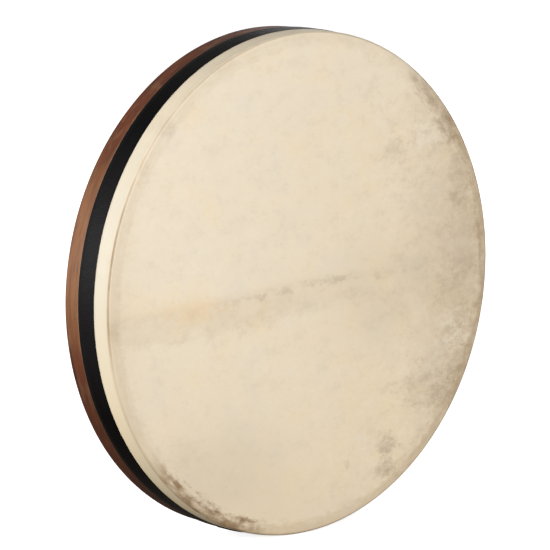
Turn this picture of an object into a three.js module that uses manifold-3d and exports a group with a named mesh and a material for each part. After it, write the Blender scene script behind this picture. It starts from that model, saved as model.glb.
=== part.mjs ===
// A bodhran with a fixed goatskin head, standing on its rim.
//
// Millimetres, +Z up. The drum's axis runs along Y: the head faces -Y and the open back +Y.
// The origin is on the surface that the drum stands on, under the middle of its depth.
//
// Depths are measured from the face of the head towards the back of the hoop.

import * as THREE from "three";
import { mergeVertices } from "three/addons/utils/BufferGeometryUtils.js";
import Module from "manifold-3d";

const wasm = await Module();
wasm.setup();

// ---- driving dimensions ----

const HEAD_RADIUS = 228.6; // over the skin, so the drum is 18 in across
const DEPTH = 60; // face of the head to the back of the hoop
const WALL = 11; // radial thickness of the hoop
const SKIN = 0.6;
const RIM_ROUND = 3; // radius of the skin's rounded edge
const HOOP_EDGE_ROUND = 1.5;

const TAPE_FRONT = 19; // depth of the tape's front edge
const TAPE_WIDTH = 22;
const TAPE = 0.5; // thickness
const LAP_END = 37; // the skin's cut edge, under the tape
const TAPE_END_ANGLE = 194; // degrees from the top, clockwise from the back
const TAPE_END_LENGTH = 14;

const BAR_WIDTH = 24;
const BAR_THICKNESS = 14;
const BAR_FRONT = 40; // depth of the bars' front face
const BAR_ROUND = 4;

const BLOCK_WIDTH = 46;
const BLOCK_HEIGHT = 20; // radially
const BLOCK_FRONT = 17;
const BLOCK_CHAMFER = 1.5;

const SCREW_RADIUS = 2;
const SCREW_HEAD_RADIUS = 4;
const SCREW_HEAD_HEIGHT = 2.6;
const SCREW_LENGTH = 28;
const CENTRE_SCREW_LENGTH = 12.5;
const SCREW_INSET = 12; // from the inside of the hoop to a bar screw's axis

const TACKS = 24;
const TACK_DEPTH = TAPE_FRONT + TAPE_WIDTH / 2;
const TACK_HEAD_RADIUS = 3;
const TACK_HEAD = 0.3; // thickness
const TACK_RADIUS = 0.8;
const TACK_LENGTH = 9;

const BOND = 0.1; // left between layers that are glued together
const GAP = 0.3; // left round a piece that sits in a cut

const SEGMENTS = 96; // flat facets round the drum, one of them straight down
const FACET = THREE.MathUtils.degToRad(360 / SEGMENTS);

// ---- sizes that follow ----

const HOOP_RADIUS = HEAD_RADIUS - SKIN - BOND;
const INNER_RADIUS = HOOP_RADIUS - WALL;
const TAPE_INNER_RADIUS = HEAD_RADIUS + BOND;
const TAPE_OUTER_RADIUS = TAPE_INNER_RADIUS + TAPE;
const TAPE_BACK = TAPE_FRONT + TAPE_WIDTH;
const BAR_BACK = BAR_FRONT + BAR_THICKNESS;
const BAR_HALF_LENGTH = INNER_RADIUS - 0.8;
const BLOCK_BACK = BAR_FRONT - GAP;
const SCREW_CENTRE = INNER_RADIUS - SCREW_INSET;
const AXIS_HEIGHT = TAPE_OUTER_RADIUS * flat(1);

// ---- helpers ----

// How far the middle of a facet is from the axis, for a corner at this radius.
function flat(radius) {
  return radius * Math.cos(Math.PI / SEGMENTS);
}

// A depth as a place along Y.
function toY(depth) {
  return depth - DEPTH / 2;
}

function arc(centreX, centreY, radius, startDegrees, endDegrees, steps) {
  const points = [];
  for (let i = 0; i <= steps; i += 1) {
    const angle = THREE.MathUtils.degToRad(startDegrees + ((endDegrees - startDegrees) * i) / steps);
    points.push(new THREE.Vector2(centreX + radius * Math.cos(angle), centreY + radius * Math.sin(angle)));
  }
  return points;
}

function point(radius, y) {
  return new THREE.Vector2(radius, y);
}

// Turns a profile round the drum's axis, with a facet facing straight down.
function turn(profile) {
  return new THREE.LatheGeometry(profile, SEGMENTS, FACET / 2);
}

// Shares the vertices of a closed geometry and drops the empty triangles on a lathe's axis.
function weld(geometry) {
  const bare = geometry.clone();
  bare.deleteAttribute("normal");
  bare.deleteAttribute("uv");
  const merged = mergeVertices(bare);
  const index = merged.index.array;
  const kept = [];
  for (let i = 0; i < index.length; i += 3) {
    const [a, b, c] = [index[i], index[i + 1], index[i + 2]];
    if (a !== b && b !== c && c !== a) kept.push(a, b, c);
  }
  merged.setIndex(kept);
  return merged;
}

function toSolid(geometry) {
  const welded = weld(geometry);
  const mesh = new wasm.Mesh({
    numProp: 3,
    vertProperties: new Float32Array(welded.attributes.position.array),
    triVerts: new Uint32Array(welded.index.array),
  });
  return new wasm.Manifold(mesh);
}

function toGeometry(solid) {
  const mesh = solid.getMesh();
  const geometry = new THREE.BufferGeometry();
  geometry.setAttribute("position", new THREE.BufferAttribute(mesh.vertProperties, 3));
  geometry.setIndex(new THREE.BufferAttribute(mesh.triVerts, 1));
  geometry.computeVertexNormals();
  return geometry;
}

// Cuts every cutter out of a geometry.
function cut(geometry, cutters) {
  let solid = toSolid(geometry);
  for (const cutter of cutters) solid = solid.subtract(toSolid(cutter));
  return toGeometry(solid);
}

function join(geometry, addition) {
  return toGeometry(toSolid(geometry).add(toSolid(addition)));
}

// ---- materials ----

function material(color, roughness, metalness = 0) {
  return new THREE.MeshStandardMaterial({ color, roughness, metalness });
}

const skinMaterial = () => material(0xecdcc0, 0.6);
const tapeMaterial = () => material(0x24201e, 0.85);
const stainedWood = () => material(0x7d543c, 0.55);
const barWood = () => material(0x8a5f43, 0.55);
const blockWood = () => material(0x9a7350, 0.7);
const steel = () => material(0xb9b6ae, 0.35, 1);

// ---- tacks ----

// A tack and the room that it takes, both pointing out along +Y with the drum's axis at y = 0.
const TACK_TOP = flat(HEAD_RADIUS) - 0.03;

function tackProfile(headRadius, shankRadius, underHead, tip) {
  return [
    point(0, tip),
    point(shankRadius, tip + 2 * shankRadius),
    point(shankRadius, underHead),
    point(headRadius, underHead),
  ];
}

function tack() {
  const profile = tackProfile(TACK_HEAD_RADIUS, TACK_RADIUS, TACK_TOP - TACK_HEAD, TACK_TOP - TACK_LENGTH);
  profile.push(point(TACK_HEAD_RADIUS, TACK_TOP), point(0, TACK_TOP));
  return new THREE.LatheGeometry(profile, 8);
}

function tackRoom() {
  const outside = HEAD_RADIUS + 2;
  const underHead = TACK_TOP - TACK_HEAD - 0.05;
  const profile = tackProfile(TACK_HEAD_RADIUS + GAP, TACK_RADIUS + GAP, underHead, TACK_TOP - TACK_LENGTH - 1);
  profile.push(point(TACK_HEAD_RADIUS + GAP, outside), point(0, outside));
  return new THREE.LatheGeometry(profile, 8);
}

// Repeats a tack-shaped piece all the way round the hoop, on the middle of its facets.
function roundTheHoop(piece) {
  const pieces = [];
  for (let i = 0; i < TACKS; i += 1) {
    const copy = piece.clone();
    copy.rotateX(Math.PI / 2);
    copy.rotateY((i * 2 * Math.PI) / TACKS);
    copy.translate(0, toY(TACK_DEPTH), 0);
    pieces.push(copy);
  }
  return pieces;
}

// ---- head, tape and hoop ----

function hoop() {
  const front = toY(SKIN + BOND);
  const back = toY(DEPTH);
  const rimRound = RIM_ROUND - SKIN - BOND;
  const edge = HOOP_EDGE_ROUND;
  const profile = [
    ...arc(HOOP_RADIUS - rimRound, front + rimRound, rimRound, -90, 0, 3),
    ...arc(HOOP_RADIUS - edge, back - edge, edge, 0, 90, 2),
    ...arc(INNER_RADIUS + edge, back - edge, edge, 90, 180, 2),
    ...arc(INNER_RADIUS + edge, front + edge, edge, 180, 270, 2),
  ];
  profile.push(profile[0].clone());
  return cut(turn(profile), roundTheHoop(tackRoom()));
}

function head() {
  const front = toY(0);
  const lap = toY(LAP_END);
  const inside = HEAD_RADIUS - SKIN;
  const insideRound = RIM_ROUND - SKIN;
  const profile = [
    point(0, front),
    ...arc(HEAD_RADIUS - RIM_ROUND, front + RIM_ROUND, RIM_ROUND, -90, 0, 4),
    point(HEAD_RADIUS, lap),
    point(inside, lap),
    ...arc(inside - insideRound, front + RIM_ROUND, insideRound, 0, -90, 4),
    point(0, front + SKIN),
  ];
  return cut(turn(profile), roundTheHoop(tackRoom()));
}

function tape() {
  const front = toY(TAPE_FRONT);
  const back = toY(TAPE_BACK);
  const profile = [
    point(TAPE_OUTER_RADIUS, front),
    point(TAPE_OUTER_RADIUS, back),
    point(TAPE_INNER_RADIUS, back),
    point(TAPE_INNER_RADIUS, front),
    point(TAPE_OUTER_RADIUS, front),
  ];
  const sunk = 0.35;
  const end = new THREE.BoxGeometry(TAPE_END_LENGTH, TAPE_WIDTH, TAPE + sunk);
  end.translate(0, (front + back) / 2, flat(TAPE_OUTER_RADIUS) - sunk + (TAPE + sunk) / 2);
  end.rotateY(THREE.MathUtils.degToRad(TAPE_END_ANGLE));
  return join(turn(profile), end);
}

// ---- screws ----

// A countersunk screw along -Y, with the top of its head at y = 0.
function screwProfile(radius, headRadius, headHeight, length) {
  return [
    point(0, -length),
    point(radius, -length + 2 * radius),
    point(radius, -headHeight),
    point(headRadius, -0.4),
    point(headRadius, 0),
    point(0, 0),
  ];
}

function screw(length) {
  const body = new THREE.LatheGeometry(screwProfile(SCREW_RADIUS, SCREW_HEAD_RADIUS, SCREW_HEAD_HEIGHT, length), 16);
  const slots = [
    new THREE.BoxGeometry(4.6, 2.8, 1.1),
    new THREE.BoxGeometry(1.1, 2.8, 4.6),
  ];
  return cut(body, slots);
}

function screwRoom(length) {
  const profile = screwProfile(SCREW_RADIUS + GAP, SCREW_HEAD_RADIUS + GAP, SCREW_HEAD_HEIGHT + GAP, length + 1);
  profile.splice(4, 2, point(SCREW_HEAD_RADIUS + GAP, 5), point(0, 5));
  return new THREE.LatheGeometry(profile, 16);
}

// Moves a piece made on the drum's axis to one of the four bar ends: 0 is the top, 1 the right.
function atBarEnd(piece, turns) {
  const moved = piece.clone().translate(0, toY(BAR_BACK), SCREW_CENTRE);
  return moved.rotateY((turns * Math.PI) / 2);
}

// ---- bars and blocks ----

// A bar along X with rounded long edges.
function plainBar() {
  const width = BAR_WIDTH / 2 - BAR_ROUND;
  const thickness = BAR_THICKNESS / 2 - BAR_ROUND;
  const section = new THREE.Shape([
    ...arc(width, thickness, BAR_ROUND, 0, 90, 3),
    ...arc(-width, thickness, BAR_ROUND, 90, 180, 3),
    ...arc(-width, -thickness, BAR_ROUND, 180, 270, 3),
    ...arc(width, -thickness, BAR_ROUND, 270, 360, 3),
  ]);
  const bar = new THREE.ExtrudeGeometry(section, { depth: 2 * BAR_HALF_LENGTH, bevelEnabled: false });
  bar.translate(0, 0, -BAR_HALF_LENGTH);
  bar.rotateY(Math.PI / 2);
  bar.translate(0, toY((BAR_FRONT + BAR_BACK) / 2), 0);
  return bar;
}

// The half of a bar's thickness that is cut away where the bars cross. side is 1 at the back, -1 at the front.
function lapRoom(side) {
  const room = BAR_THICKNESS;
  const notch = new THREE.BoxGeometry(BAR_WIDTH + GAP, room, BAR_WIDTH + 10);
  const middle = toY((BAR_FRONT + BAR_BACK) / 2);
  notch.translate(0, middle + side * (room / 2 - GAP / 4), 0);
  return notch;
}

function screwCutters() {
  const centre = screwRoom(CENTRE_SCREW_LENGTH).translate(0, toY(BAR_BACK), 0);
  return [centre, ...[0, 1, 2, 3].map((turns) => atBarEnd(screwRoom(SCREW_LENGTH), turns))];
}

function levelBar() {
  return cut(plainBar(), [lapRoom(1), ...screwCutters()]);
}

function uprightBar() {
  const bar = plainBar().rotateY(Math.PI / 2);
  const notch = lapRoom(-1).rotateY(Math.PI / 2);
  return cut(bar, [notch, ...screwCutters()]);
}

// A block at the top of the hoop's inside, with its outer face curved to the hoop.
function block(turns) {
  const outer = flat(INNER_RADIUS) - GAP;
  const half = BLOCK_WIDTH / 2;
  const low = outer - BLOCK_HEIGHT;
  const spread = THREE.MathUtils.radToDeg(Math.asin(half / outer));
  const corner = 5;
  const outline = new THREE.Shape([
    ...arc(0, 0, outer, 90 - spread, 90 + spread, 8),
    point(-half, low + corner),
    point(-half + corner, low),
    point(half - corner, low),
    point(half, low + corner),
  ]);
  const blank = new THREE.ExtrudeGeometry(outline, {
    depth: BLOCK_BACK - BLOCK_FRONT - 2 * BLOCK_CHAMFER,
    bevelSize: BLOCK_CHAMFER,
    bevelOffset: -BLOCK_CHAMFER,
    bevelThickness: BLOCK_CHAMFER,
    bevelSegments: 1,
  });
  blank.rotateX(Math.PI / 2);
  blank.translate(0, toY(BLOCK_BACK) - BLOCK_CHAMFER, 0);
  blank.rotateY((turns * Math.PI) / 2);
  return cut(blank, [atBarEnd(screwRoom(SCREW_LENGTH), turns)]);
}

// ---- assembly ----

const bodhran = new THREE.Group();
bodhran.position.z = AXIS_HEIGHT;

function add(name, geometry, look) {
  const mesh = new THREE.Mesh(geometry, look);
  mesh.name = name;
  bodhran.add(mesh);
}

add("frame_hoop", hoop(), stainedWood());
add("goatskin_head", head(), skinMaterial());
add("edge_tape", tape(), tapeMaterial());
roundTheHoop(tack()).forEach((piece, i) => {
  add(`skin_tack_${String(i + 1).padStart(2, "0")}`, piece, steel());
});
add("crossbar_level", levelBar(), barWood());
add("crossbar_upright", uprightBar(), barWood());
["top", "right", "bottom", "left"].forEach((end, turns) => {
  add(`bar_block_${end}`, block(turns), blockWood());
  add(`bar_screw_${end}`, atBarEnd(screw(SCREW_LENGTH), turns), steel());
});
add("centre_screw", screw(CENTRE_SCREW_LENGTH).translate(0, toY(BAR_BACK), 0), steel());

export default bodhran;
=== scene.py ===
"""The looks of a bodhran: goatskin head, woven edge tape, bent wood hoop and hand bars.

Metres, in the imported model's frame: +Z up, the head faces -Y and the open back +Y. Depths are
measured from the face of the head towards the back. An angle round the drum starts at +X and
turns towards +Z.
"""

import math

import bmesh
import bpy
import numpy as np
from mathutils import Matrix, Vector, noise


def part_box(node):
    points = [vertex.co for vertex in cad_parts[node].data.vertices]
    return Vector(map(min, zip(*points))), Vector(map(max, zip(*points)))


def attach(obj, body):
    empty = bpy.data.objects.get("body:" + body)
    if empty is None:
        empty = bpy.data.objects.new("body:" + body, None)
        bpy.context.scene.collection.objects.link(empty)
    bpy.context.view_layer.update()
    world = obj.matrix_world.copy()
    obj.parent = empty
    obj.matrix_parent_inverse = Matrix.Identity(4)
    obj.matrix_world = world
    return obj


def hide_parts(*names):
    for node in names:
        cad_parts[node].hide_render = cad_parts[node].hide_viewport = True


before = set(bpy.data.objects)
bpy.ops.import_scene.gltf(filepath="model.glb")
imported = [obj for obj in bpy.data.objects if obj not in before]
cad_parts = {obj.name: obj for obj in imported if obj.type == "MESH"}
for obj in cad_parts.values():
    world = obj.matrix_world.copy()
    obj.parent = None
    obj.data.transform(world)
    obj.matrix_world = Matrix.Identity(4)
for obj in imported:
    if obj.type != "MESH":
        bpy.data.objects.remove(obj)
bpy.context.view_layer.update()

MM = 0.001

# ---- sizes, from the frame ----

FACETS = 96  # of the CAD model's turned pieces
TRUE_RADIUS = 1 / math.cos(math.pi / FACETS)

head_low, head_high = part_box("goatskin_head")
tape_low, tape_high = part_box("edge_tape")
hoop_low, hoop_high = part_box("frame_hoop")
bar_low, bar_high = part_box("crossbar_level")

FRONT = head_low.y
BACK = hoop_high.y
AXIS_HEIGHT = (head_low.z + head_high.z) / 2
HEAD_RADIUS = (head_high.x - head_low.x) / 2 * TRUE_RADIUS
HOOP_RADIUS = (hoop_high.x - hoop_low.x) / 2 * TRUE_RADIUS
LAP_END = head_high.y
TAPE_FRONT = tape_low.y
TAPE_BACK = tape_high.y
BAR_LENGTH = bar_high.x - bar_low.x
BAR_WIDTH = bar_high.z - bar_low.z
BAR_THICKNESS = bar_high.y - bar_low.y
BAR_FRONT = bar_low.y
BAR_BACK = bar_high.y

WALL = 11 * MM
SKIN = 0.6 * MM
TAPE = 0.5 * MM
RIM_ROUND = 3 * MM
INNER_RADIUS = HOOP_RADIUS - WALL
CENTRE = Vector((0, 0, AXIS_HEIGHT))

# ---- camera ----

CAMERA_AZIMUTH = math.radians(-41.95)
CAMERA_ELEVATION = math.radians(9.88)
CAMERA_DISTANCE = 4.572
CAMERA_LENS = 333.2
AIM_LEFT = 25.7 * MM  # how far the camera looks to the left of the head's middle
AIM_UP = 8.6 * MM  # and above it


def make_camera():
    """A long lens at the drum's front left, a little above it."""
    across = math.cos(CAMERA_ELEVATION)
    back = Vector(
        (
            math.sin(CAMERA_AZIMUTH) * across,
            -math.cos(CAMERA_AZIMUTH) * across,
            math.sin(CAMERA_ELEVATION),
        )
    )
    right = (-back).cross(Vector((0, 0, 1))).normalized()
    up = right.cross(-back)
    data = bpy.data.cameras.new("camera")
    data.lens = CAMERA_LENS
    data.sensor_width = 36
    data.clip_end = 100
    camera = bpy.data.objects.new("camera", data)
    bpy.context.scene.collection.objects.link(camera)
    middle = CENTRE + Vector((0, FRONT, 0))
    camera.location = middle + back * CAMERA_DISTANCE
    aim = middle - right * AIM_LEFT + up * AIM_UP
    camera.rotation_euler = (aim - camera.location).to_track_quat("-Z", "Y").to_euler()
    bpy.context.scene.camera = camera


make_camera()

# ---- mesh helpers ----


def new_piece(name, points, faces, smooth_angle=35):
    """A mesh piece with its normals outwards, smooth except at edges sharper than smooth_angle."""
    mesh = bpy.data.meshes.new(name)
    mesh.from_pydata([tuple(p) for p in points], [], faces)
    finish_mesh(mesh, smooth_angle)
    piece = bpy.data.objects.new(name, mesh)
    bpy.context.scene.collection.objects.link(piece)
    return piece


def finish_mesh(mesh, smooth_angle):
    """Turns a mesh's faces outwards and shades it smooth, with sharp edges where it bends most."""
    shell = bmesh.new()
    shell.from_mesh(mesh)
    bmesh.ops.recalc_face_normals(shell, faces=shell.faces)
    shell.to_mesh(mesh)
    shell.free()
    mesh.polygons.foreach_set("use_smooth", [True] * len(mesh.polygons))
    mesh.set_sharp_from_angle(angle=math.radians(smooth_angle))
    mesh.update()


def settle(piece, node, body, material):
    """Every piece's last step: it gets its finish, stands for a CAD node and rides on its body."""
    piece.data.materials.append(material)
    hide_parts(node)
    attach(piece, body)


def ring_faces(rows, columns, first=0, wrap_rows=False):
    """Quads between rows of points that each go once round."""
    faces = []
    for row in range(rows if wrap_rows else rows - 1):
        here = first + row * columns
        there = first + ((row + 1) % rows) * columns
        for column in range(columns):
            beside = (column + 1) % columns
            faces.append((here + column, here + beside, there + beside, there + column))
    return faces


def on_drum(radius, y, angle):
    """A point at a radius and place along Y, at an angle round the drum."""
    return (radius * math.cos(angle), y, AXIS_HEIGHT + radius * math.sin(angle))


def arc(centre_a, centre_b, radius, start, end, steps):
    """Points of an arc in a profile, with angles in degrees."""
    angles = np.radians(np.linspace(start, end, steps + 1))
    return [(centre_a + radius * math.cos(a), centre_b + radius * math.sin(a)) for a in angles]


def soft_step(low, high, value):
    """0 below low and 1 above high, with a smooth rise between."""
    t = min(max((value - low) / (high - low), 0), 1)
    return t * t * (3 - 2 * t)


def ripple(x, y, z, size):
    """Smooth noise from -1 to 1 with features of about this size in metres."""
    return noise.noise(Vector((x, y, z)) / size)


def cut(piece, cutters):
    """Cuts the cutters out of a piece and deletes them."""
    for cutter in cutters:
        modifier = piece.modifiers.new("cut", "BOOLEAN")
        modifier.operation = "DIFFERENCE"
        modifier.solver = "EXACT"
        modifier.object = cutter
    apply_modifiers(piece)
    for cutter in cutters:
        bpy.data.objects.remove(cutter)


def apply_modifiers(piece, smooth_angle=35):
    """Makes what the modifiers do part of the mesh."""
    graph = bpy.context.evaluated_depsgraph_get()
    graph.update()
    mesh = bpy.data.meshes.new_from_object(piece.evaluated_get(graph))
    piece.modifiers.clear()
    piece.data = mesh
    finish_mesh(mesh, smooth_angle)


def box_cutter(low, high):
    """A box between two corners."""
    xs, ys, zs = zip(low, high)
    points = [(x, y, z) for x in xs for y in ys for z in zs]
    faces = [(0, 1, 3, 2), (4, 6, 7, 5), (0, 4, 5, 1), (2, 3, 7, 6), (0, 2, 6, 4), (1, 5, 7, 3)]
    return new_piece("cutter", points, faces)


def turned(name, profile, columns=32):
    """A solid turned round the Y axis from (radius, y) pairs, closed by a flat cap at each end."""
    points = []
    for radius, y in profile:
        for column in range(columns):
            angle = 2 * math.pi * column / columns
            points.append((radius * math.cos(angle), y, radius * math.sin(angle)))
    faces = ring_faces(len(profile), columns)
    faces.append(tuple(range(columns)))
    faces.append(tuple(range(len(points) - columns, len(points))))
    return new_piece(name, points, faces)


# ---- material helpers ----


def srgb(red, green, blue):
    """A colour as its 0 to 255 display values."""
    values = []
    for value in (red, green, blue):
        value /= 255
        values.append(value / 12.92 if value <= 0.04045 else ((value + 0.055) / 1.055) ** 2.4)
    return (*values, 1)


class Painter:
    """Builds one procedural material, node by node."""

    def __init__(self, name):
        self.material = bpy.data.materials.new(name)
        self.material.use_nodes = True
        self.tree = self.material.node_tree
        self.shader = self.tree.nodes["Principled BSDF"]
        place = self.tree.nodes.new("ShaderNodeTexCoord")
        self.place = place.outputs["Object"]
        split = self.node("ShaderNodeSeparateXYZ", {0: self.place})
        self.x, self.y = split.outputs[0], split.outputs[1]
        self.z = self.math("SUBTRACT", split.outputs[2], AXIS_HEIGHT)
        self.radius = self.length(self.x, self.z)

    def node(self, kind, inputs, **settings):
        """A node with its inputs linked, or set where they are plain values."""
        made = self.tree.nodes.new(kind)
        for name, value in settings.items():
            setattr(made, name, value)
        for name, value in inputs.items():
            if isinstance(value, bpy.types.NodeSocket):
                self.tree.links.new(value, made.inputs[name])
            else:
                made.inputs[name].default_value = value
        return made

    def math(self, operation, a, b=0.0, c=0.0, clamp=False):
        made = self.node("ShaderNodeMath", {0: a, 1: b, 2: c}, operation=operation, use_clamp=clamp)
        return made.outputs[0]

    def add(self, a, b):
        return self.math("ADD", a, b)

    def times(self, a, b):
        return self.math("MULTIPLY", a, b)

    def length(self, x, z):
        """How long a vector across the drum is."""
        return self.math("SQRT", self.add(self.times(x, x), self.times(z, z)))

    def span(self, mask, low, high):
        """low where the mask is 0 and high where it is 1."""
        return self.add(self.times(mask, high - low), low)

    def both(self, *masks):
        """The product of several masks."""
        result = masks[0]
        for mask in masks[1:]:
            result = self.times(result, mask)
        return result

    def step(self, value, low, high):
        """0 below low and 1 above high, with a soft edge; a low above high turns it over."""
        made = self.node(
            "ShaderNodeMapRange",
            {"Value": value, "From Min": low, "From Max": high},
            interpolation_type="SMOOTHSTEP",
        )
        return made.outputs[0]

    def vector(self, x, y, z):
        return self.node("ShaderNodeCombineXYZ", {0: x, 1: y, 2: z}).outputs[0]

    def towards(self, x, z):
        """How far a place lies from the drum's axis in a direction across the drum."""
        return self.add(self.times(self.x, x), self.times(self.z, z))

    def round_drum(self, stretch, across):
        """A place for noise that is stretched round the drum, with no seam anywhere."""
        round_x, round_z = (
            self.times(self.math("DIVIDE", part, self.radius), HEAD_RADIUS * stretch)
            for part in (self.x, self.z)
        )
        return self.vector(round_x, across, round_z)

    def angle(self, start):
        """The angle round the drum, with its jump at start."""
        cosine, sine = -math.cos(start), -math.sin(start)
        turned_x, turned_z = self.towards(cosine, sine), self.towards(-sine, cosine)
        return self.add(self.math("ARCTAN2", turned_z, turned_x), start + math.pi)

    def noise(self, vector, size, detail=3.0, roughness=0.5, distortion=0.0, contrast=None):
        """Noise about 0.5 with features of about this size; contrast spreads it over 0 to 1."""
        made = self.node(
            "ShaderNodeTexNoise",
            {
                "Vector": vector,
                "Scale": 1 / size,
                "Detail": detail,
                "Roughness": roughness,
                "Distortion": distortion,
            },
        )
        if contrast is None:
            return made.outputs["Fac"]
        middle = 0.5 - 0.5 * contrast
        return self.math("MULTIPLY_ADD", made.outputs["Fac"], contrast, middle, clamp=True)

    def mix(self, amount, first, second):
        """One colour changed into another by an amount from 0 to 1."""
        made = self.tree.nodes.new("ShaderNodeMix")
        made.data_type = "RGBA"
        factor, colour_a, colour_b = made.inputs[0], made.inputs[6], made.inputs[7]
        for socket, value in ((factor, amount), (colour_a, first), (colour_b, second)):
            if isinstance(value, bpy.types.NodeSocket):
                self.tree.links.new(value, socket)
            else:
                socket.default_value = value
        return made.outputs[2]

    def ramp(self, amount, stops):
        """A colour from a ramp of positions and colours."""
        made = self.node("ShaderNodeValToRGB", {0: amount})
        elements = made.color_ramp.elements
        while len(elements) < len(stops):
            elements.new(0.5)
        for element, (position, colour) in zip(elements, stops):
            element.position = position
            element.color = colour
        return made.outputs[0]

    def bump(self, height, distance, strength=1.0, under=None):
        """A normal raised by a height, over another normal if one is given."""
        inputs = {"Height": height, "Distance": distance, "Strength": strength}
        if under is not None:
            inputs["Normal"] = under
        return self.node("ShaderNodeBump", inputs).outputs[0]

    def finish(self, colour, roughness, normal=None, **settings):
        """Joins it all to the shader, whose other settings are given by name."""
        linked = {"Base Color": colour, "Roughness": roughness, "Normal": normal}
        for name, value in linked.items():
            if isinstance(value, bpy.types.NodeSocket):
                self.tree.links.new(value, self.shader.inputs[name])
            elif value is not None:
                self.shader.inputs[name].default_value = value
        for name, value in settings.items():
            self.shader.inputs[name.replace("_", " ")].default_value = value
        return self.material


# ---- goatskin ----


class Goatskin(Painter):
    """Stretched goatskin: cream, with darker stains and a darker line on the rim's corner, painted
    shade on the ring over the hoop and low on the face, and painted light on the lap.
    """

    PALER = srgb(247, 238, 221)
    TAN = srgb(196, 174, 140)
    GREY = srgb(152, 134, 108)
    STAIN = srgb(155, 134, 110)
    BROWN = srgb(132, 104, 72)

    # Placed in millimetres from the drum's axis: x, z, half width, half height, strength.
    CLOUDS = ((-100, -162, 66, 34, 0.16), (106, -18, 52, 38, 0.16))
    LIGHT_PATCHES = ((150, 124, 20, 12, 0.3), (186, -64, 16, 16, 0.28))
    STAINS = (
        (42, 0.5, 13, 2.4, 0.2),
        (60, -14, 20, 5, 0.1),
        (103, -160, 11, 9, 0.42),
        (101, -181, 10, 9, 0.46),
        (54, -172, 3, 4, 0.26),
        (-140, -136, 17, 13, 0.13),
        (196, -100, 17, 26, 0.27),
        (180, -122, 18, 16, 0.2),
        (148, -112, 26, 20, 0.2),
        (167, 149, 13, 10, 0.26),
        (178, 130, 12, 12, 0.32),
        (194, 84, 12, 30, 0.2),
        (-221, -18, 5, 7, 0.2),
        (110, 112, 14, 11, 0.13),
        (196, 10, 18, 50, 0.12),
        (180, -30, 24, 22, 0.08),
        (-161, 157, 10, 8, 0.2),
        (-189, 121, 6, 12, 0.14),
        (-97, 206, 18, 5, 0.14),
    )
    # Along the rim: middle and half width in degrees, strength, and the radius where it starts.
    RIM_STAINS = (
        (-121, 23, 0.84, 213),
        (41, 17, 0.38, 206),
        (0, 46, 0.26, 213),
        (-45, 22, 0.14, 206),
        (-2, 18, 0.12, 213),
    )
    LEFT = (-0.99, 0.139)  # towards the drum's left side, across and up

    def __init__(self):
        super().__init__("goatskin")
        self.depth = self.add(self.y, -FRONT)
        self.cloud = self.noise(self.place, 100 * MM, 2, 0.5, contrast=2)
        self.haze = self.noise(self.place, 42 * MM, 4, 0.6, contrast=2.6)
        combed = self.vector(self.times(self.x, 0.7), self.y, self.z)
        self.mottle = self.noise(combed, 13 * MM, 5, 0.66, contrast=2.8)
        self.speck = self.noise(combed, 4 * MM, 5, 0.7, contrast=3)
        self.texture = self.add(self.times(self.mottle, 0.55), self.times(self.speck, 0.45))
        self.ragged = self.add(self.texture, -0.5)
        round_rim = self.round_drum(0.3, self.add(self.radius, self.y))
        self.smear = self.noise(round_rim, 5 * MM, 4, 0.6, contrast=2.4)

    def blot(self, x, z, half_width, half_height, edge, wobble):
        """A soft-edged oval mark on the face."""
        across = self.math("DIVIDE", self.add(self.x, -x * MM), half_width * MM)
        along = self.math("DIVIDE", self.add(self.z, -z * MM), half_height * MM)
        distance = self.add(self.length(across, along), wobble)
        return self.step(distance, 1 + edge, 1 - edge)

    def paint(self):
        """The finished material, laid on layer by layer."""
        colour = self.ground()
        colour = self.painted_shade_and_tones(colour)
        colour = self.crossing_line(colour)
        colour = self.stains(colour)
        colour = self.ring(colour)
        colour = self.rim_stains(colour)
        colour = self.dark_corner_line(colour)
        colour = self.lap(colour)
        grain = self.bump(self.noise(self.place, 1.5 * MM, 3, 0.6), 0.05 * MM, 0.5)
        pores = self.bump(self.speck, 0.12 * MM, 0.5, grain)
        roughness = self.span(self.mottle, 0.46, 0.66)
        return self.finish(colour, roughness, pores, Specular_IOR_Level=0.3)

    def ground(self):
        """Cream at the upper left, warmer towards the right and below, with fine flecks."""
        slope = self.add(self.towards(0.8, -0.6), self.times(self.add(self.cloud, -0.5), 80 * MM))
        warmth = self.step(slope, -170 * MM, 190 * MM)
        colour = self.mix(warmth, srgb(236, 223, 200), srgb(235, 218, 189))
        cool = self.times(self.step(self.haze, 0.55, 0.95), 0.4)
        colour = self.mix(cool, colour, srgb(229, 217, 199))
        warm = self.times(self.step(self.haze, 0.45, 0.05), 0.35)
        colour = self.mix(warm, colour, srgb(240, 219, 182))
        right = self.step(self.x, 0.0, 190 * MM)
        flecks = self.both(self.step(self.texture, 0.52, 0.82), self.span(right, 0.07, 0.13))
        colour = self.mix(flecks, colour, self.GREY)
        gaps = self.both(self.step(self.texture, 0.46, 0.2), self.span(right, 0.12, 0.24))
        return self.mix(gaps, colour, self.PALER)

    def painted_shade_and_tones(self, colour):
        """Broad soft darkening: painted shade at the lower left and the bottom, a darker left edge,
        two clouds and the belly edge.
        """
        left_edge = self.times(self.step(self.x, -180 * MM, -226 * MM), 0.15)
        colour = self.mix(left_edge, colour, self.TAN)
        # Painted shade: darker at the lower left and towards the bottom.
        lower_left = self.times(self.step(self.towards(-0.7, -0.7), 60 * MM, 260 * MM), 0.22)
        colour = self.mix(lower_left, colour, self.TAN)
        bottom = self.times(self.step(self.z, -150 * MM, -215 * MM), 0.08)
        colour = self.mix(bottom, colour, self.TAN)
        for *oval, strength in self.CLOUDS:
            cloudy = self.both(self.blot(*oval, 0.9, self.times(self.ragged, 0.5)), strength)
            cloudy = self.both(cloudy, self.span(self.haze, 0.7, 1.3))
            colour = self.mix(cloudy, colour, srgb(166, 150, 122))
        uneven = self.times(self.add(self.cloud, self.haze), 20 * MM)
        belly = self.step(self.add(self.x, uneven), 120 * MM, 235 * MM)
        return self.mix(self.times(belly, 0.42), colour, srgb(192, 173, 145))

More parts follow.
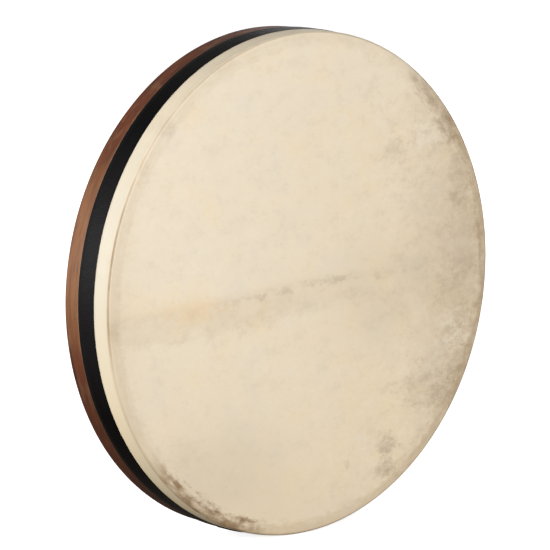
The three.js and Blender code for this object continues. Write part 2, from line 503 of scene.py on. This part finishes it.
    def crossing_line(self, colour):
        """A ragged darker line in from the left, with a darker band under it."""
        line = self.add(self.times(self.step(self.x, -130 * MM, 20 * MM), 9 * MM), -8 * MM)
        uneven = self.times(self.ragged, 16 * MM)
        from_line = self.add(self.math("SUBTRACT", self.z, line), uneven)
        band = self.both(
            self.step(from_line, 10 * MM, -4 * MM),
            self.step(from_line, -34 * MM, -17 * MM),
            self.step(self.x, 120 * MM, -40 * MM),
            self.span(self.mottle, 0.6, 1.1),
        )
        colour = self.mix(self.times(band, 0.25), colour, self.TAN)
        near_middle = self.both(
            self.step(self.x, -150 * MM, -60 * MM), self.step(self.x, 160 * MM, 20 * MM)
        )
        thread = self.both(
            self.step(self.math("ABSOLUTE", from_line), 5.5 * MM, 0.5 * MM),
            self.span(near_middle, 0.3, 1),
            self.step(self.mottle, 0.15, 0.9),
        )
        colour = self.mix(self.times(thread, 0.2), colour, self.BROWN)
        orange = self.blot(-124, -9, 42, 10, 0.8, self.ragged)
        orange = self.both(orange, self.step(self.speck, 0.1, 0.8))
        return self.mix(self.times(orange, 0.42), colour, srgb(232, 198, 150))

    def stains(self, colour):
        """Where the skin is darker, most of all on the right, and two paler patches in that."""
        right = self.step(self.add(self.x, self.times(self.ragged, 50 * MM)), 100 * MM, 225 * MM)
        darker = self.times(right, 0.11)
        for *oval, strength in self.STAINS:
            stain = self.blot(*oval, 0.6, self.times(self.ragged, -0.9))
            darker = self.add(darker, self.times(stain, strength))
        darker = self.times(darker, self.span(self.step(self.texture, 0.2, 0.8), 0.47, 0.99))
        colour = self.mix(darker, colour, self.STAIN)
        for *oval, strength in self.LIGHT_PATCHES:
            patch = self.blot(*oval, 0.8, self.ragged)
            light = self.both(patch, self.step(self.texture, 0.7, 0.35), strength)
            colour = self.mix(light, colour, self.PALER)
        return colour

    def ring(self, colour):
        """Painted shade on the ring where the skin lies on the hoop, stronger low down."""
        uneven = self.times(self.add(self.smear, self.texture), 6 * MM)
        ring = self.step(self.add(self.radius, uneven), 217 * MM, 230 * MM)
        ring = self.both(ring, self.span(self.smear, 0.75, 1.25))
        low = self.step(self.z, 60 * MM, -190 * MM)
        strength = self.add(self.times(self.cloud, 0.1), self.span(low, 0.12, 0.36))
        return self.mix(self.both(ring, strength), colour, self.TAN)

    def rim_stains(self, colour):
        """Darker stains along the rim: lower left, right and upper right."""
        angle = self.angle(-math.pi)
        texture = self.add(self.times(self.smear, 0.65), self.times(self.texture, 0.35))
        radius = self.add(self.radius, self.times(self.add(texture, -0.5), 16 * MM))
        front = self.step(self.depth, 3 * MM, 1 * MM)
        patchy = self.span(self.step(texture, 0.25, 0.75), 0.38, 1.08)
        for middle, half, strength, start in self.RIM_STAINS:
            rim = self.step(radius, start * MM, 223 * MM)
            away = self.math("ABSOLUTE", self.add(angle, -math.radians(middle)))
            near = self.step(away, math.radians(half), math.radians(half * 0.5))
            colour = self.mix(self.both(near, rim, front, patchy, strength), colour, self.BROWN)
        return colour

    def dark_corner_line(self, colour):
        """A thin darker line on the rim's corner, strongest at the left."""
        corner = RIM_ROUND * (1 - math.sqrt(0.5))
        inwards = self.add(self.radius, corner - HEAD_RADIUS)
        backwards = self.add(self.depth, -corner)
        worn = self.step(self.length(inwards, backwards), 1.5 * MM, 0.4 * MM)
        left = self.step(self.towards(*self.LEFT), 206 * MM, 228 * MM)
        upper = self.step(self.z, -60 * MM, 60 * MM)
        strength = self.add(self.add(self.times(left, 0.42), self.times(upper, 0.16)), 0.14)
        worn = self.both(worn, self.span(self.smear, 0.75, 1.25), strength)
        return self.mix(worn, colour, srgb(144, 118, 82))

    def lap(self, colour):
        """The lap down the side: darker towards the corner, with faint streaks down it; painted
        light makes it paler than the face, greyer at the left and paler and yellower low down.
        """
        lap = self.step(self.depth, 2 * MM, 3.5 * MM)
        by_corner = self.both(lap, self.step(self.depth, 9 * MM, 3 * MM), 0.22)
        colour = self.mix(by_corner, colour, self.TAN)
        down = self.round_drum(1.0, self.times(self.y, 0.15))
        streak = self.step(self.noise(down, 9 * MM, 4, 0.6), 0.5, 0.75)
        colour = self.mix(self.both(lap, streak, 0.2), colour, srgb(206, 178, 138))
        # Painted light: the lap is painted paler than the face, greyer at the left where the side
        # light is strongest, and paler and yellower low down where it is in shade.
        colour = self.mix(self.times(lap, 0.4), colour, srgb(244, 230, 201))
        cooler = self.step(self.towards(*self.LEFT), 170 * MM, 222 * MM)
        colour = self.mix(self.both(lap, cooler, 0.5), colour, srgb(216, 211, 196))
        lower = self.step(self.z, 40 * MM, -110 * MM)
        return self.mix(self.both(lap, lower, 0.6), colour, srgb(253, 236, 198))


SKIN_COLUMNS = 360
SAG = 0.25 * MM  # of the face, inside the hoop


def make_skin():
    """The head in one piece: face, rounded rim and the lap under the tape."""
    inner_face = HEAD_RADIUS - RIM_ROUND
    coarse = np.linspace(0, inner_face - 14 * MM, 54)[1:]
    fine = inner_face - np.arange(13, 0, -1) * MM
    radii = np.concatenate([coarse, fine])
    # Each row of the profile is a radius, a place along Y and the direction outwards there.
    profile = [(r, FRONT, 0.0, -1.0) for r in radii]
    for tilt in np.radians(np.linspace(-90, 0, 11)):
        nr, ny = math.cos(tilt), math.sin(tilt)
        profile.append((inner_face + RIM_ROUND * nr, FRONT + RIM_ROUND * (1 + ny), nr, ny))
    for y in np.linspace(FRONT + RIM_ROUND, LAP_END, 22)[1:]:
        profile.append((HEAD_RADIUS, y, 1.0, 0.0))

    def lift(radius, y, angle):
        """How far the skin stands off its true shape at a place."""
        x, z = radius * math.cos(angle), radius * math.sin(angle)
        face = 1 - soft_step(214 * MM, 219 * MM, radius)
        sag = -SAG * face
        wave = (0.22 * ripple(x, 0, z, 70 * MM) + 0.07 * ripple(x, 5, z, 16 * MM)) * MM * face
        down = soft_step(FRONT + 3 * MM, TAPE_FRONT, y)
        rim_x, rim_z = HEAD_RADIUS * math.cos(angle), HEAD_RADIUS * math.sin(angle)
        pleat = ripple(rim_x, y * 0.3, rim_z, 14 * MM)
        return sag + wave + 0.16 * MM * pleat * down

    points = [(0, FRONT + SAG, AXIS_HEIGHT)]
    angles = [2 * math.pi * i / SKIN_COLUMNS for i in range(SKIN_COLUMNS)]
    for thickness, rows in ((0.0, profile), (SKIN, profile[::-1])):
        for radius, y, nr, ny in rows:
            for angle in angles:
                off = lift(radius, y, angle) - thickness
                points.append(on_drum(radius + nr * off, y + ny * off, angle))
    points.append((0, FRONT + SAG + SKIN, AXIS_HEIGHT))
    faces = ring_faces(2 * len(profile), SKIN_COLUMNS, 1)
    last = len(points) - 1
    for column in range(SKIN_COLUMNS):
        beside = (column + 1) % SKIN_COLUMNS
        faces.append((0, 1 + column, 1 + beside))
        faces.append((last, last - SKIN_COLUMNS + beside, last - SKIN_COLUMNS + column))
    skin = new_piece("skin", points, faces, 60)
    settle(skin, "goatskin_head", "root", Goatskin().paint())


# ---- tape ----

TAPE_END = math.radians(256)
RIBS = 654  # once round the drum
OVERLAP_RIBS = 7
TAPE_OVERLAP = 2 * math.pi * OVERLAP_RIBS / RIBS


def woven_tape():
    """Black woven tape: a fine weave, a little dust, painted sheen on the crests of its ribs and a
    painted highlight on the drum's left side.
    """
    p = Painter("woven_tape")
    angle = p.angle(TAPE_END)
    along = p.times(angle, HEAD_RADIUS)
    weave = p.noise(p.vector(along, p.times(p.y, 3.0), 0.0), 0.8 * MM, 2, 0.6)
    dust = p.noise(p.place, 30 * MM, 4, 0.6)
    colour = p.ramp(weave, ((0.3, srgb(1, 1, 1)), (0.75, srgb(9, 8, 8))))
    colour = p.mix(p.times(p.step(dust, 0.5, 0.8), 0.15), colour, srgb(36, 32, 30))
    # Painted highlight: paler on the drum's left side, where the side light falls.
    left = p.step(p.towards(-0.985, 0.17), 180 * MM, 226 * MM)
    colour = p.mix(p.times(left, 0.3), colour, srgb(46, 43, 44))
    # Painted sheen: paler crests on the ribs.
    crest_sheen = p.math("COSINE", p.times(p.add(angle, TAPE_OVERLAP - TAPE_END), RIBS))
    colour = p.mix(p.times(p.step(crest_sheen, 0.0, 1.0), 0.3), colour, srgb(28, 28, 30))
    threads = p.math("SINE", p.times(along, 2 * math.pi / (0.75 * MM)))
    cross = p.math("SINE", p.times(p.y, 2 * math.pi / (0.55 * MM)))
    height = p.add(p.times(p.times(threads, cross), 0.5), weave)
    normal = p.bump(height, 0.12 * MM, 0.3)
    return p.finish(colour, 0.33, normal, IOR=1.12)


def make_tape():
    """One band of ribbed tape round the hoop, its end lapped over its start."""
    across = 11
    total = 2 * math.pi + TAPE_OVERLAP
    samples = 4 * (RIBS + OVERLAP_RIBS)
    points = []
    for i in range(samples + 1):
        turn = total * i / samples
        angle = TAPE_END - TAPE_OVERLAP + turn
        past_start = (turn - 2 * math.pi) * HEAD_RADIUS
        rise = soft_step(-3 * MM, 0.5 * MM, past_start)
        rib = math.cos(math.pi * i / 2)  # four samples to a rib
        wander = 0.4 * MM * ripple(math.cos(angle) * 3, math.sin(angle) * 3, 0, 1)
        outer, inner = [], []
        for k in range(across):
            share = k / (across - 1)
            y = TAPE_FRONT + (TAPE_BACK - TAPE_FRONT) * share + wander
            past_skin = soft_step(LAP_END - 0.5 * MM, LAP_END + 2.5 * MM, y)
            bed = HEAD_RADIUS + 0.12 * MM - SKIN * past_skin
            low = bed + rise * (TAPE + 0.1 * MM)
            edge = min(share, 1 - share)
            selvage = soft_step(0.0, 0.12, edge)
            high = low + TAPE * (0.8 + 0.1 * selvage) + 0.08 * MM * rib * selvage
            if k in (0, across - 1):
                high = low + TAPE * 0.7
            outer.append(on_drum(high, y, angle))
            inner.append(on_drum(low, y, angle))
        points.extend(outer + inner[::-1])
    loop = 2 * across
    faces = ring_faces(samples + 1, loop)
    faces.append(tuple(range(loop)))
    faces.append(tuple(range(len(points) - loop, len(points))))
    tape = new_piece("tape", points, faces, 70)
    settle(tape, "edge_tape", "root", woven_tape())


# ---- wood ----


def grained(p, place, dark, middle, light):
    """Stained wood: long soft growth bands, fine dark pores and short ray flecks along the grain.

    place gives a place for noise that is stretched so much along the grain.
    """
    bands = p.noise(place(0.05), 5 * MM, 3, 0.55, 0.4)
    lines = p.noise(place(0.03), 0.9 * MM, 3, 0.6)
    flecks = p.noise(place(0.16), 0.7 * MM, 1, 0.4)
    blotch = p.noise(place(0.4), 26 * MM, 3, 0.5)
    colour = p.ramp(bands, ((0.25, dark), (0.5, middle), (0.78, light)))
    colour = p.mix(p.times(p.step(blotch, 0.35, 0.7), 0.35), colour, light)
    colour = p.mix(p.times(p.step(lines, 0.5, 0.75), 0.5), colour, dark)
    darkest = (*(0.5 * part for part in dark[:3]), 1)
    colour = p.mix(p.times(p.step(flecks, 0.62, 0.74), 0.55), colour, darkest)
    height = p.add(p.times(lines, -0.6), p.times(p.step(flecks, 0.6, 0.72), -0.8))
    return colour, height, bands


def hoop_wood():
    """Dark stained wood with its grain round the hoop, worn and marked on the outside, with a
    painted highlight on the drum's left side and painted shade low on the left and on the back
    corner.
    """
    p = Painter("hoop_wood")
    across = p.add(p.y, p.times(p.radius, -1))

    def place(stretch):
        return p.round_drum(stretch, across)

    colour, height, bands = grained(p, place, srgb(50, 25, 16), srgb(82, 45, 29), srgb(108, 64, 41))
    red = p.noise(place(0.3), 7 * MM, 4, 0.65, contrast=3)
    colour = p.mix(p.times(red, 0.6), colour, srgb(130, 66, 34))
    outside = p.step(p.radius, HOOP_RADIUS - 2 * MM, HOOP_RADIUS - 0.5 * MM)
    # A painted highlight: paler along the drum's left side, where the side light falls.
    left = p.towards(-0.978, 0.208)
    pale = p.step(left, 204 * MM, 228 * MM)
    pale = p.both(outside, pale, p.span(p.step(bands, 0.35, 0.6), 0.5, 1), 0.85)
    colour = p.mix(pale, colour, srgb(146, 98, 60))
    # A painted highlight: a pale line beside the tape, on the drum's left side.
    tape_edge_highlight = p.step(p.y, TAPE_BACK + 1.7 * MM, TAPE_BACK + 0.8 * MM)
    tape_edge_highlight = p.both(outside, tape_edge_highlight, p.step(left, 140 * MM, 215 * MM), 0.5)
    colour = p.mix(tape_edge_highlight, colour, srgb(178, 152, 124))
    worn = p.noise(place(0.4), 9 * MM, 4, 0.6, contrast=3)
    colour = p.mix(p.times(p.step(worn, 0.55, 1.0), 0.3), colour, srgb(146, 110, 78))
    # Painted shade: darker low on the drum's left and on its back corner.
    low = p.step(p.towards(-0.5, -0.87), 130 * MM, 225 * MM)
    colour = p.mix(p.both(outside, low, 0.5), colour, srgb(34, 20, 15))
    edge = p.step(p.y, BACK - 3.5 * MM, BACK - 0.5 * MM)
    colour = p.mix(p.times(edge, 0.3), colour, srgb(44, 24, 16))
    pores = p.noise(place(0.06), 1.2 * MM, 3, 0.65, contrast=3)
    colour = p.mix(p.times(p.step(pores, 0.5, 1.0), 0.4), colour, srgb(70, 38, 24))
    normal = p.bump(height, 0.08 * MM, 0.6)
    roughness = p.span(p.noise(p.place, 30 * MM, 3), 0.46, 0.66)
    return p.finish(colour, roughness, normal, Specular_IOR_Level=0.26)


SCARF_OUTSIDE = math.radians(38)
SCARF_INSIDE = math.radians(24)


def make_hoop():
    """The bent hoop, with rounded edges and the fine glue lines of its scarf joint."""
    edge = 1.5 * MM
    front = hoop_low.y
    rim = RIM_ROUND - SKIN
    profile = arc(HOOP_RADIUS - rim, front + rim, rim, -90, 0, 6)
    profile += [(HOOP_RADIUS, y) for y in np.linspace(front + rim, BACK - edge, 18)[1:-1]]
    profile += arc(HOOP_RADIUS - edge, BACK - edge, edge, 0, 90, 6)
    profile += arc(INNER_RADIUS + edge, BACK - edge, edge, 90, 180, 6)
    profile += [(INNER_RADIUS, y) for y in np.linspace(BACK - edge, front + edge, 18)[1:-1]]
    profile += arc(INNER_RADIUS + edge, front + edge, edge, 180, 270, 4)
    # Columns stand closer beside the two glue lines.
    offsets = np.array([-0.9, -0.5, -0.25, 0, 0.25, 0.5, 0.9]) * MM / HOOP_RADIUS
    evenly = np.linspace(0, 2 * math.pi, 361)[:-1]
    angles = np.unique(np.concatenate([evenly, SCARF_OUTSIDE + offsets, SCARF_INSIDE + offsets]))
    middle = (HOOP_RADIUS + INNER_RADIUS) / 2
    points = []
    for radius, y in profile:
        side = 1 if radius > middle else -1
        scarf = SCARF_OUTSIDE if side > 0 else SCARF_INSIDE
        for angle in angles:
            groove = 0.3 * MM * math.exp(-(((angle - scarf) * HOOP_RADIUS / (0.35 * MM)) ** 2))
            uneven = 0.12 * MM * ripple(math.cos(angle) * 4, math.sin(angle) * 4, y * 12, 1)
            points.append(on_drum(radius - side * groove + uneven, y, angle))
    columns = len(angles)
    faces = ring_faces(len(profile), columns, 0, True)
    hoop = new_piece("hoop", points, faces)
    settle(hoop, "frame_hoop", "root", hoop_wood())


# ---- bars, blocks and fasteners ----


def bar_wood(name, upright):
    """Stained wood with its grain along a bar, a little polished by the hand."""
    p = Painter(name)
    along, across = (p.z, p.x) if upright else (p.x, p.z)

    def place(stretch):
        return p.vector(p.times(along, stretch), across, p.y)

    colour, height, _ = grained(p, place, srgb(96, 60, 40), srgb(138, 94, 66), srgb(162, 112, 76))
    worn = p.step(p.noise(p.place, 60 * MM, 3), 0.5, 0.75)
    colour = p.mix(p.times(worn, 0.2), colour, srgb(176, 128, 90))
    normal = p.bump(height, 0.08 * MM, 0.6)
    roughness = p.span(p.noise(p.place, 25 * MM, 3), 0.36, 0.56)
    shine = {"Specular_IOR_Level": 0.4, "Coat_Weight": 0.08, "Coat_Roughness": 0.35}
    return p.finish(colour, roughness, normal, **shine)


def block_wood(name, upright):
    """Plain wood with its grain round the hoop."""
    p = Painter(name)
    along, across = (p.z, p.x) if upright else (p.x, p.z)

    def place(stretch):
        return p.vector(p.times(across, stretch), along, p.y)

    dark, middle, light = srgb(118, 80, 52), srgb(158, 116, 80), srgb(184, 142, 102)
    colour, height, _ = grained(p, place, dark, middle, light)
    normal = p.bump(height, 0.12 * MM, 0.8)
    return p.finish(colour, 0.62, normal, Specular_IOR_Level=0.3)


def steel(name):
    """Tarnished steel with fine scratches."""
    p = Painter(name)
    scratch = p.noise(p.place, 0.6 * MM, 3, 0.7)
    tarnish = p.noise(p.place, 3 * MM, 4, 0.6)
    colour = p.mix(p.step(tarnish, 0.4, 0.75), srgb(196, 192, 184), srgb(150, 140, 124))
    roughness = p.span(scratch, 0.2, 0.5)
    return p.finish(colour, roughness, p.bump(scratch, 0.02 * MM, 0.5), Metallic=1.0)


SCREW_INSET = 12 * MM
SCREW_CENTRE = INNER_RADIUS - SCREW_INSET
SCREW_LENGTH = 28 * MM
CENTRE_SCREW_LENGTH = 12.5 * MM

BAR_ENDS = (  # name, and where the screw is, across and up
    ("top", 0, SCREW_CENTRE),
    ("right", SCREW_CENTRE, 0),
    ("bottom", 0, -SCREW_CENTRE),
    ("left", -SCREW_CENTRE, 0),
)


def on_upright(x):
    """Whether a bar end at this place across belongs to the upright bar."""
    return abs(x) < MM


def screw_room(x, z, length):
    """The countersunk hole for a screw whose head is at the back of the bars."""
    shank, head = 2.15 * MM, 4.2 * MM
    profile = [(shank, -length - 1 * MM), (shank, -2.5 * MM), (head, -0.3 * MM), (head, 3 * MM)]
    cutter = turned("screw_room", profile)
    cutter.data.transform(Matrix.Translation((x, BAR_BACK, AXIS_HEIGHT + z)))
    return cutter


def bar_section(half_width, half_thickness):
    """The bar's outline across the grain, with well-rounded edges."""
    corner = 4.2 * MM
    section = []
    for sign_w, sign_t, start in ((1, 1, 0), (-1, 1, 90), (-1, -1, 180), (1, -1, 270)):
        middle_w, middle_t = sign_w * (half_width - corner), sign_t * (half_thickness - corner)
        section += arc(middle_w, middle_t, corner, start, start + 90, 7)
    return section


def bar_stations():
    """Places along the bar and how far the outline is drawn in at each, to ease the ends."""
    ease = 1.2 * MM
    half = BAR_LENGTH / 2
    turns = np.radians(np.linspace(0, 90, 5))
    stations = [(-half + ease * (1 - math.sin(a)), ease * (1 - math.cos(a))) for a in turns[::-1]]
    stations += [(along, 0.0) for along in np.linspace(-half + ease, half - ease, 60)[1:-1]]
    stations += [(half - ease * (1 - math.sin(a)), ease * (1 - math.cos(a))) for a in turns]
    return stations


def lap_cutter(upright):
    """What is cut from a bar's middle: its front half if it stands upright, or its back half."""
    gap, spare = 0.1 * MM, 5 * MM
    middle = (BAR_FRONT + BAR_BACK) / 2
    reach = BAR_WIDTH / 2 + gap
    if upright:
        wide, tall = reach + spare, reach
        low_y, high_y = BAR_FRONT - 2 * MM, middle + gap
    else:
        wide, tall = reach, reach + spare
        low_y, high_y = middle - gap, BAR_BACK + 2 * MM
    return box_cutter((-wide, low_y, AXIS_HEIGHT - tall), (wide, high_y, AXIS_HEIGHT + tall))


def make_bar(name, node, upright):
    """A hand bar with well-rounded edges, eased ends, its half of the lap and its screw holes."""
    worn_to = 190 * MM  # it is exact beyond this, where it meets the blocks
    half_w, half_t = BAR_WIDTH / 2, BAR_THICKNESS / 2
    section = bar_section(half_w, half_t)
    stations = bar_stations()
    middle = (BAR_FRONT + BAR_BACK) / 2
    points = []
    for along, inset in stations:
        shrink_w, shrink_t = 1 - inset / half_w, 1 - inset / half_t
        for w, t in section:
            soft = 0.08 * MM * ripple(along, w * 2, t * 2 + (7 if upright else 0), 30 * MM)
            w, t = w * shrink_w, t * shrink_t + (soft if abs(along) < worn_to else 0)
            across, up = (w, along) if upright else (along, w)
            points.append((across, middle + t, AXIS_HEIGHT + up))
    loop = len(section)
    faces = ring_faces(len(stations), loop)
    faces.append(tuple(range(loop)))
    faces.append(tuple(range(len(points) - loop, len(points))))
    bar = new_piece(name, points, faces)
    rooms = [screw_room(0, 0, CENTRE_SCREW_LENGTH)]
    for _, x, z in BAR_ENDS:
        if on_upright(x) == upright:
            rooms.append(screw_room(x, z, SCREW_LENGTH))
    cut(bar, [lap_cutter(upright), *rooms])
    settle(bar, node, "root", bar_wood(name + "_wood", upright))


def make_block(end, x, z):
    """A glue block inside the hoop, curved to fit it, with eased edges and a screw hole."""
    node = "bar_block_" + end
    low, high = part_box(node)
    upright = on_upright(x)
    size = high - low
    width, height = (size.x, size.z) if upright else (size.z, size.x)
    outer = INNER_RADIUS - 0.45 * MM
    half = width / 2
    spread = math.degrees(math.asin(half / outer))
    corner = 5 * MM
    foot = outer - height + corner
    outline = arc(0, 0, outer, 90 - spread, 90 + spread, 12)
    outline += arc(-half + corner, foot, corner, 180, 270, 6)
    outline += arc(half - corner, foot, corner, 270, 360, 6)
    count = len(outline)
    points = [(a, y, b) for y in (low.y, high.y) for a, b in outline]
    faces = ring_faces(2, count)
    faces.append(tuple(range(count)))
    faces.append(tuple(range(count, 2 * count)))
    block = new_piece("glue_block_" + end, points, faces)
    bevel = block.modifiers.new("ease", "BEVEL")
    bevel.width = 1.2 * MM
    bevel.segments = 4
    bevel.limit_method = "ANGLE"
    bevel.angle_limit = math.radians(50)
    apply_modifiers(block)
    turn = Matrix.Rotation(math.atan2(x, z), 4, "Y")
    block.data.transform(Matrix.Translation(CENTRE) @ turn)
    cut(block, [screw_room(x, z, SCREW_LENGTH)])
    settle(block, node, "root", block_wood("block_wood_" + end, upright))


SCREW_COLUMNS = 32


def screw_rows(length):
    """Rings of a countersunk screw from its head to its tip, each with its radii and its place."""
    pitch, core, thread = 1.5 * MM, 1.35 * MM, 0.55 * MM
    shank, head, tip = 1.9 * MM, 4 * MM, 4 * MM
    start = -min(9 * MM, length / 2)
    plain = [(0.06 * head, 0.0), (0.55 * head, 0.0), (0.9 * head, -0.05 * MM)]
    plain += [(head, -0.25 * MM), (head, -0.45 * MM), (shank, -2.6 * MM), (shank, start)]
    rows = [([radius] * SCREW_COLUMNS, y) for radius, y in plain]
    steps = int((length + start) / (pitch / 8))
    for i in range(1, steps + 1):
        y = start + (-length - start) * i / steps
        taper = min(1.0, (length + y) / tip + 0.04)
        radii = []
        for column in range(SCREW_COLUMNS):
            phase = (y / pitch + column / SCREW_COLUMNS) % 1
            ridge = max(0.0, 1 - abs(phase - 0.5) * 5)
            radii.append((core + thread * ridge) * taper)
        rows.append((radii, y))
    return rows


def make_screw(name, node, x, z, length):
    """A countersunk wood screw with a cross recess and a real thread."""
    rows = screw_rows(length)
    points = []
    for radii, y in rows:
        for column, radius in enumerate(radii):
            angle = 2 * math.pi * column / SCREW_COLUMNS
            points.append((radius * math.cos(angle), y, radius * math.sin(angle)))
    faces = ring_faces(len(rows), SCREW_COLUMNS)
    faces.append(tuple(range(SCREW_COLUMNS)))
    faces.append(tuple(range(len(points) - SCREW_COLUMNS, len(points))))
    screw = new_piece(name, points, faces)
    wide, narrow, deep, above = 2.3 * MM, 0.5 * MM, 1.5 * MM, 2 * MM
    cut(
        screw,
        [
            box_cutter((-wide, -deep, -narrow), (wide, above, narrow)),
            box_cutter((-narrow, -deep, -wide), (narrow, above, wide)),
        ],
    )
    # Each recess is left at an angle of its own.
    turn = Matrix.Rotation(math.radians(20 + 1500 * (x + z)), 4, "Y")
    screw.data.transform(Matrix.Translation((x, BAR_BACK - 0.1 * MM, AXIS_HEIGHT + z)) @ turn)
    settle(screw, node, "root", screw_steel)


def make_tacks():
    """Flat-headed tacks in a ring, all under the tape."""
    nodes = sorted(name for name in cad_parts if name.startswith("skin_tack_"))
    head, shank, sunk = 3 * MM, 0.8 * MM, 0.35 * MM
    edge = 0.1 * MM
    profile = [(edge, -9 * MM), (shank, -7.2 * MM), (shank, -sunk - edge), (1.4 * shank, -sunk)]
    profile += [(0.96 * head, -sunk), (head, -sunk + edge)]
    profile += [(0.97 * head, -0.06 * MM), (0.8 * head, 0.0)]
    for node in nodes:
        low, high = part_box(node)
        middle = (low + high) / 2
        out = Vector((middle.x, 0, middle.z - AXIS_HEIGHT)).normalized()
        tack = turned(node.replace("skin_tack", "tack"), profile, 24)
        turn = Vector((0, 1, 0)).rotation_difference(out).to_matrix().to_4x4()
        top = CENTRE + Vector((0, middle.y, 0)) + out * (HEAD_RADIUS - 0.25 * MM)
        tack.data.transform(Matrix.Translation(top) @ turn)
        settle(tack, node, "root", tack_steel)


# ---- floor and light ----


def make_floor():
    """A wide pale floor that gives off a little light, so that it stays even to its far edge."""
    bpy.ops.mesh.primitive_plane_add(size=80, location=(0, 0, -0.2 * MM))
    floor = bpy.context.object
    floor.name = "floor"
    material = bpy.data.materials.new("floor")
    material.use_nodes = True
    shader = material.node_tree.nodes["Principled BSDF"]
    shader.inputs["Base Color"].default_value = (0.9, 0.9, 0.9, 1)
    shader.inputs["Roughness"].default_value = 1.0
    shader.inputs["Specular IOR Level"].default_value = 0.0
    shader.inputs["Emission Color"].default_value = (1, 1, 1, 1)
    shader.inputs["Emission Strength"].default_value = 0.76
    floor.data.materials.append(material)
    floor.visible_diffuse = False
    floor.visible_glossy = False


def area_light(name, place, aim, size, power, tint=(1, 1, 1)):
    data = bpy.data.lights.new(name, "AREA")
    data.shape = "DISK"
    data.size = size
    data.energy = power
    data.color = tint
    light = bpy.data.objects.new(name, data)
    bpy.context.scene.collection.objects.link(light)
    light.location = place
    light.rotation_euler = (Vector(aim) - Vector(place)).to_track_quat("-Z", "Y").to_euler()


def light_studio():
    """White behind everything, four soft lights, and a room that is brighter above than below."""
    world = bpy.data.worlds.new("studio")
    world.use_nodes = True
    tree = world.node_tree
    direction = tree.nodes.new("ShaderNodeTexCoord").outputs["Generated"]
    split = tree.nodes.new("ShaderNodeSeparateXYZ")
    height = tree.nodes.new("ShaderNodeMapRange")
    height.inputs["From Min"].default_value = -1
    room = tree.nodes.new("ShaderNodeValToRGB")
    below, above = room.color_ramp.elements
    below.color = (0.09, 0.065, 0.042, 1)
    above.color = (0.4, 0.4, 0.4, 1)
    seen = tree.nodes.new("ShaderNodeLightPath").outputs["Is Camera Ray"]
    colour = tree.nodes.new("ShaderNodeMix")
    colour.data_type = "RGBA"
    colour.inputs[7].default_value = (1, 1, 1, 1)
    tree.links.new(direction, split.inputs[0])
    tree.links.new(split.outputs[2], height.inputs["Value"])
    tree.links.new(height.outputs[0], room.inputs[0])
    tree.links.new(seen, colour.inputs[0])
    tree.links.new(room.outputs[0], colour.inputs[6])
    tree.links.new(colour.outputs[2], tree.nodes["Background"].inputs["Color"])
    bpy.context.scene.world = world
    area_light("key", CENTRE + Vector((-2.0, -1.5, 0.45)), CENTRE, 1.3, 52)
    area_light("side", CENTRE + Vector((-1.45, 1.35, 0.3)), CENTRE, 0.7, 14)
    area_light("fill", CENTRE + Vector((0.8, -2.5, 0.3)), CENTRE, 1.8, 24.5)
    area_light("behind", CENTRE + Vector((2.4, 1.6, 1.0)), CENTRE, 1.6, 16)
    scene = bpy.context.scene
    scene.view_settings.view_transform = "Standard"
    scene.view_settings.look = "None"


tack_steel = steel("tack_steel")
screw_steel = steel("screw_steel")
make_skin()
make_tape()
make_hoop()
make_bar("level_bar", "crossbar_level", False)
make_bar("upright_bar", "crossbar_upright", True)
for end, x, z in BAR_ENDS:
    make_block(end, x, z)
    make_screw("screw_" + end, "bar_screw_" + end, x, z, SCREW_LENGTH)
make_screw("screw_centre", "centre_screw", 0, 0, CENTRE_SCREW_LENGTH)
make_tacks()
make_floor()
light_studio()
